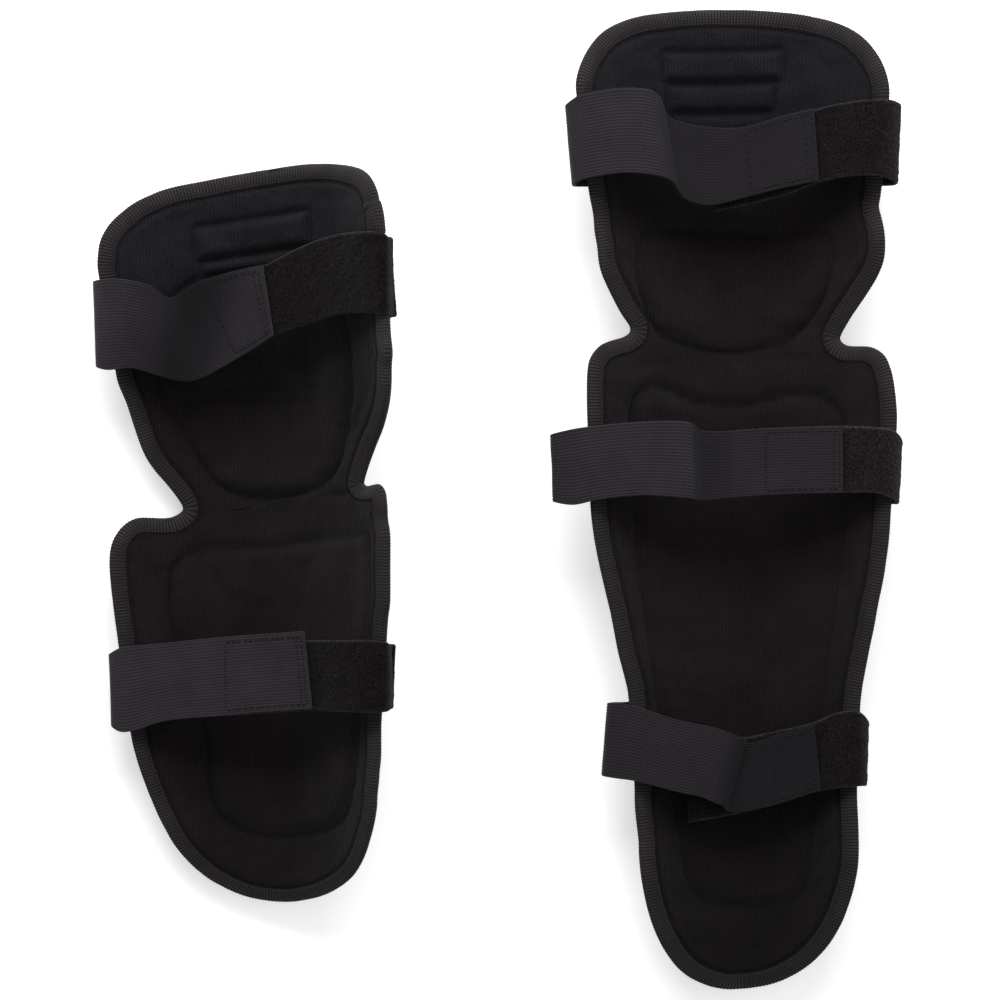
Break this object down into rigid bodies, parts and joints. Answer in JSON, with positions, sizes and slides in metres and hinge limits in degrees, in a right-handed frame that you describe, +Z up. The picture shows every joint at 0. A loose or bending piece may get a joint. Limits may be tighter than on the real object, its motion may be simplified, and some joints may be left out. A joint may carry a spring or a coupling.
{
  "type": "knee and elbow guard set",
  "caption": "Long knee and shin guard and shorter elbow and forearm guard, padded lining side up, moulded plates below, elastic hook-and-loop straps.",
  "frame": {"origin": "middle of the base, on the surface that both guards lie on", "axes": "+Z up, out of the padded lining; +Y towards the thigh and upper-arm ends; +X towards the knee guard"},
  "size_m": [0.4152, 0.5008, 0.0974],
  "materials": {
    "facing_knit": "brushed knit, matt",
    "foam": "closed-cell foam",
    "backing_fabric": "plain woven",
    "binding_tape": "ribbed tape",
    "moulded_plate": "moulded, fine grain",
    "rivet": "black coated",
    "pad_knit": "brushed knit over foam",
    "elastic": "ribbed woven elastic",
    "hook": "moulded hooks",
    "loop": "loop pile"
  },
  "bodies": {
    "knee_shin": {"knee_shin_facing": "facing_knit", "knee_shin_foam": "foam", "knee_shin_backing": "backing_fabric", "knee_shin_binding": "binding_tape", "knee_shin_plate": "moulded_plate", "knee_shin_rivets": "rivet", "knee_shin_pad": "pad_knit", "knee_shin_anchors": "elastic"},
    "knee_thigh": {"knee_thigh_facing": "facing_knit", "knee_thigh_foam": "foam", "knee_thigh_backing": "backing_fabric", "knee_thigh_binding": "binding_tape", "knee_thigh_plate": "moulded_plate", "knee_thigh_rivets": "rivet", "knee_cup": "moulded_plate", "knee_cup_rivets": "rivet", "knee_thigh_ribs": "pad_knit", "knee_cap_pad": "pad_knit", "knee_thigh_anchors": "elastic"},
    "elbow_forearm": {"elbow_forearm_facing": "facing_knit", "elbow_forearm_foam": "foam", "elbow_forearm_backing": "backing_fabric", "elbow_forearm_binding": "binding_tape", "elbow_forearm_plate": "moulded_plate", "elbow_forearm_rivets": "rivet", "elbow_forearm_pad": "pad_knit", "elbow_forearm_anchors": "elastic"},
    "elbow_arm": {"elbow_arm_facing": "facing_knit", "elbow_arm_foam": "foam", "elbow_arm_backing": "backing_fabric", "elbow_arm_binding": "binding_tape", "elbow_arm_plate": "moulded_plate", "elbow_arm_rivets": "rivet", "elbow_cup": "moulded_plate", "elbow_cup_rivets": "rivet", "elbow_arm_ribs": "pad_knit", "elbow_cap_pad": "pad_knit", "elbow_arm_anchors": "elastic"},
    "knee_top_strap": {"knee_top_elastic": "elastic", "knee_top_hook": "hook"},
    "knee_top_tab": {"knee_top_loop_tab": "loop"},
    "knee_mid_strap": {"knee_mid_elastic": "elastic", "knee_mid_hook": "hook"},
    "knee_mid_tab": {"knee_mid_loop_tab": "loop"},
    "knee_low_strap": {"knee_low_elastic": "elastic", "knee_low_hook": "hook"},
    "knee_low_tab": {"knee_low_loop_tab": "loop"},
    "elbow_top_strap": {"elbow_top_elastic": "elastic", "elbow_top_hook": "hook"},
    "elbow_top_tab": {"elbow_top_loop_tab": "loop"},
    "elbow_low_strap": {"elbow_low_elastic": "elastic", "elbow_low_hook": "hook"},
    "elbow_low_tab": {"elbow_low_loop_tab": "loop"}
  },
  "joints": [
    {"name": "knee_bend", "type": "hinge", "parent": "knee_shin", "child": "knee_thigh", "pos_m": [0.1219, 0.0799, 0.0086], "axis": [1, 0, 0], "range_deg": [0, 45]},
    {"name": "elbow_guard_lift", "type": "slide", "parent": "knee_shin", "child": "elbow_forearm", "axis": [0, 0, 1], "range_m": [0, 0.25]},
    {"name": "elbow_bend", "type": "hinge", "parent": "elbow_forearm", "child": "elbow_arm", "pos_m": [-0.11674, -0.00342, 0.01], "axis": [0.9506, 0.009, 0.3102], "range_deg": [0, 32]},
    {"name": "knee_top_strap_open", "type": "hinge", "parent": "knee_thigh", "child": "knee_top_strap", "pos_m": [0.03955, 0.1796, 0.05], "axis": [0.0654, -0.9979, 0], "range_deg": [0, 110]},
    {"name": "knee_top_tab_open", "type": "hinge", "parent": "knee_thigh", "child": "knee_top_tab", "pos_m": [0.2067, 0.1744, 0.052], "axis": [0.0915, 0.9958, 0], "range_deg": [0, 60]},
    {"name": "knee_mid_strap_open", "type": "hinge", "parent": "knee_shin", "child": "knee_mid_strap", "pos_m": [0.02725, 0.01565, 0.049], "axis": [0.0087, -1, 0], "range_deg": [0, 110]},
    {"name": "knee_mid_tab_open", "type": "hinge", "parent": "knee_shin", "child": "knee_mid_tab", "pos_m": [0.2045, 0.00965, 0.05], "axis": [0.0998, 0.995, 0], "range_deg": [0, 60]},
    {"name": "knee_low_strap_open", "type": "hinge", "parent": "knee_shin", "child": "knee_low_strap", "pos_m": [0.0516, -0.1235, 0.036], "axis": [-0.1016, -0.9948, 0], "range_deg": [0, 110]},
    {"name": "knee_low_tab_open", "type": "hinge", "parent": "knee_shin", "child": "knee_low_tab", "pos_m": [0.18685, -0.13375, 0.036], "axis": [0.0519, 0.9987, 0], "range_deg": [0, 60]},
    {"name": "elbow_top_strap_open", "type": "hinge", "parent": "elbow_arm", "child": "elbow_top_strap", "pos_m": [-0.20585, 0.09425, 0.0353], "axis": [-0.0023, -0.9874, -0.1582], "range_deg": [0, 110]},
    {"name": "elbow_top_tab_open", "type": "hinge", "parent": "elbow_arm", "child": "elbow_top_tab", "pos_m": [-0.04825, 0.108, 0.08705], "axis": [0.0372, 0.991, 0.1289], "range_deg": [0, 60]},
    {"name": "elbow_low_strap_open", "type": "hinge", "parent": "elbow_forearm", "child": "elbow_low_strap", "pos_m": [-0.20215, -0.09355, 0.0228], "axis": [0.0081, -1, 0], "range_deg": [0, 110]},
    {"name": "elbow_low_tab_open", "type": "hinge", "parent": "elbow_forearm", "child": "elbow_low_tab", "pos_m": [-0.05455, -0.08985, 0.0628], "axis": [0.0428, 0.9991, 0], "range_deg": [0, 60]}
  ],
  "couplings": [
    {"joint": "knee_top_tab_open", "follows": "knee_top_strap_open", "ratio": 0.5},
    {"joint": "knee_mid_tab_open", "follows": "knee_mid_strap_open", "ratio": 0.5},
    {"joint": "knee_low_tab_open", "follows": "knee_low_strap_open", "ratio": 0.5},
    {"joint": "elbow_top_tab_open", "follows": "elbow_top_strap_open", "ratio": 0.5},
    {"joint": "elbow_low_tab_open", "follows": "elbow_low_strap_open", "ratio": 0.5}
  ]
}
